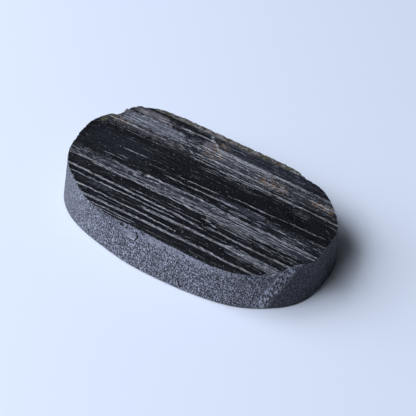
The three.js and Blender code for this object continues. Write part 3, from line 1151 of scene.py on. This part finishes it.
# The cracks and pits are painted near black: the shade inside their narrow recesses.
DARK_CRACK = clouded_material("dark_crack", 0.95, 1.3, CRACK_SHADE_CLOUDS, (0.4, 0.7), BLACK, SLATE_DARK)
print("materials:", [m.name for m in (GROWN_FACE, GROUND_RIM, FRESH_SCAR, DARK_CRACK)])

# %% [markdown]
# ## Cutting the stone
# The stone is what the block and the blank have in common, less the lumps of
# the chips and the cracks. The solids are closed, so the manifold solver can
# cut them, and each face keeps the material of the surface it comes from.

# %% Run the node trees
run_nodes(block, fine_striations_tree(GROWN_FACE), FINE_STRIATIONS)
run_nodes(blank, grinding_tree(GROUND_RIM), GRINDING_MARKS)
settle(block)
settle(blank)
lumps = chip_lumps("chip_lumps", CHIPS, FRESH_SCAR)
cracks = chip_lumps("crack_lumps", CRACKS, DARK_CRACK)
print("cutters:", [(p.name, len(p.data.polygons)) for p in (blank, lumps, cracks)])


# %% Cut
def cut(piece, other, operation):
    modifier = piece.modifiers.new(operation.lower(), "BOOLEAN")
    modifier.object = other
    modifier.operation = operation
    modifier.solver = "MANIFOLD"
    modifier.material_mode = "TRANSFER"


cut(block, blank, "INTERSECT")
cut(block, lumps, "DIFFERENCE")
cut(block, cracks, "DIFFERENCE")
settle(block)
for helper in (blank, lumps, cracks):
    bpy.data.objects.remove(helper)
crystal = block
crystal.name = "striated_tourmaline"
print("stone:", len(crystal.data.polygons), "faces,", [m.name for m in crystal.data.materials])


# %% [markdown]
# ## Mend the cut mesh
# A boolean leaves slivers where two surfaces nearly touch. When the faces are
# cut into triangles, a few edges come out with more than two of them. Each
# such edge is shrunk to a point, until none is left. Then the mesh is tested:
# every edge of a closed skin has exactly two faces.

# %% Mend, shade and test
MENDS = 4
SHARP_ANGLE = math.radians(38)


def mend(piece):
    work = bmesh.new()
    work.from_mesh(piece.data)
    bmesh.ops.triangulate(work, faces=work.faces)
    for _ in range(MENDS):
        crossed = [edge for edge in work.edges if len(edge.link_faces) != 2]
        print("edges to mend:", len(crossed))
        bmesh.ops.collapse(work, edges=crossed)
    open_edges = [edge for edge in work.edges if len(edge.link_faces) != 2]
    print("triangles:", len(work.faces), "edges without two faces:", len(open_edges))
    work.to_mesh(piece.data)
    work.free()
    piece.data.shade_smooth()
    piece.data.set_sharp_from_angle(angle=SHARP_ANGLE)


mend(crystal)

# %% [markdown]
# ## The finished piece takes the solid's place

# %% Replace the plain solid
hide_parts(STONE)
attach(crystal, "root")

# %% [markdown]
# ## Floor and light
# The stone lies on a pale bluish-white sheet. One large soft light stands at
# the left, and a smaller one higher up, at the left of the camera. The steep
# sides of the striations turn towards them and the flat parts reflect the
# dim room behind the stone, which is what makes the black face readable.

# %% Floor
FLOOR_SIZE = 1.6
SHEET = (0.845, 0.885, 0.935)


def floor():
    mesh = bpy.data.meshes.new("sheet")
    half = FLOOR_SIZE / 2
    corners = [(-half, -half, 0), (half, -half, 0), (half, half, 0), (-half, half, 0)]
    mesh.from_pydata(corners, [], [(0, 1, 2, 3)])
    sheet = bpy.data.objects.new("sheet", mesh)
    bpy.context.scene.collection.objects.link(sheet)
    paper, _, _ = material("pale_sheet", Roughness=0.8, Base_Color=(*SHEET, 1))
    mesh.materials.append(paper)
    return sheet


sheet = floor()
print("sheet, m:", round(sheet.dimensions.x, 2))

# %% Lights
DAYLIGHT = (0.78, 0.84, 1.0)
LAMP_DISTANCE = 0.6


def softbox(name, azimuth, elevation, size, power):
    """A square light that faces the stone; the turns are in degrees."""
    data = bpy.data.lights.new(name, "AREA")
    data.size = size
    data.energy = power
    data.color = DAYLIGHT
    lamp = bpy.data.objects.new(name, data)
    turn, rise = math.radians(azimuth), math.radians(elevation)
    away = Vector((
        math.cos(turn) * math.cos(rise), math.sin(turn) * math.cos(rise), math.sin(rise)
    ))
    lamp.location = away * LAMP_DISTANCE
    lamp.rotation_euler = away.to_track_quat("Z", "Y").to_euler()
    bpy.context.scene.collection.objects.link(lamp)
    return lamp


lamps = [
    softbox("window", azimuth=202, elevation=36, size=0.5, power=4.5),
    softbox("window_front", azimuth=236, elevation=51, size=0.3, power=1.7),
]
print("lights, W:", {lamp.name: round(lamp.data.energy, 1) for lamp in lamps})

# %% The room
ROOM = (0.78, 0.86, 1.0)
ROOM_BRIGHT_SIDE = (-0.76, -0.41, 0.5)
ROOM_SPREAD = (0.1, 0.8)
ROOM_STRENGTH = (0.008, 0.2)


def room():
    world = bpy.data.worlds.new("room")
    world.use_nodes = True
    tree = world.node_tree
    back = tree.nodes["Background"]
    back.inputs["Color"].default_value = (*ROOM, 1)
    direction = tree.nodes.new("ShaderNodeTexCoord").outputs["Generated"]
    towards = put(tree, "ShaderNodeVectorMath", {
        0: direction, 1: ROOM_BRIGHT_SIDE,
    }, operation="DOT_PRODUCT").outputs["Value"]
    strength = span(tree, towards, *ROOM_SPREAD, *ROOM_STRENGTH)
    tree.links.new(strength, back.inputs["Strength"])
    bpy.context.scene.world = world


room()
bpy.context.scene.view_settings.view_transform = "Standard"
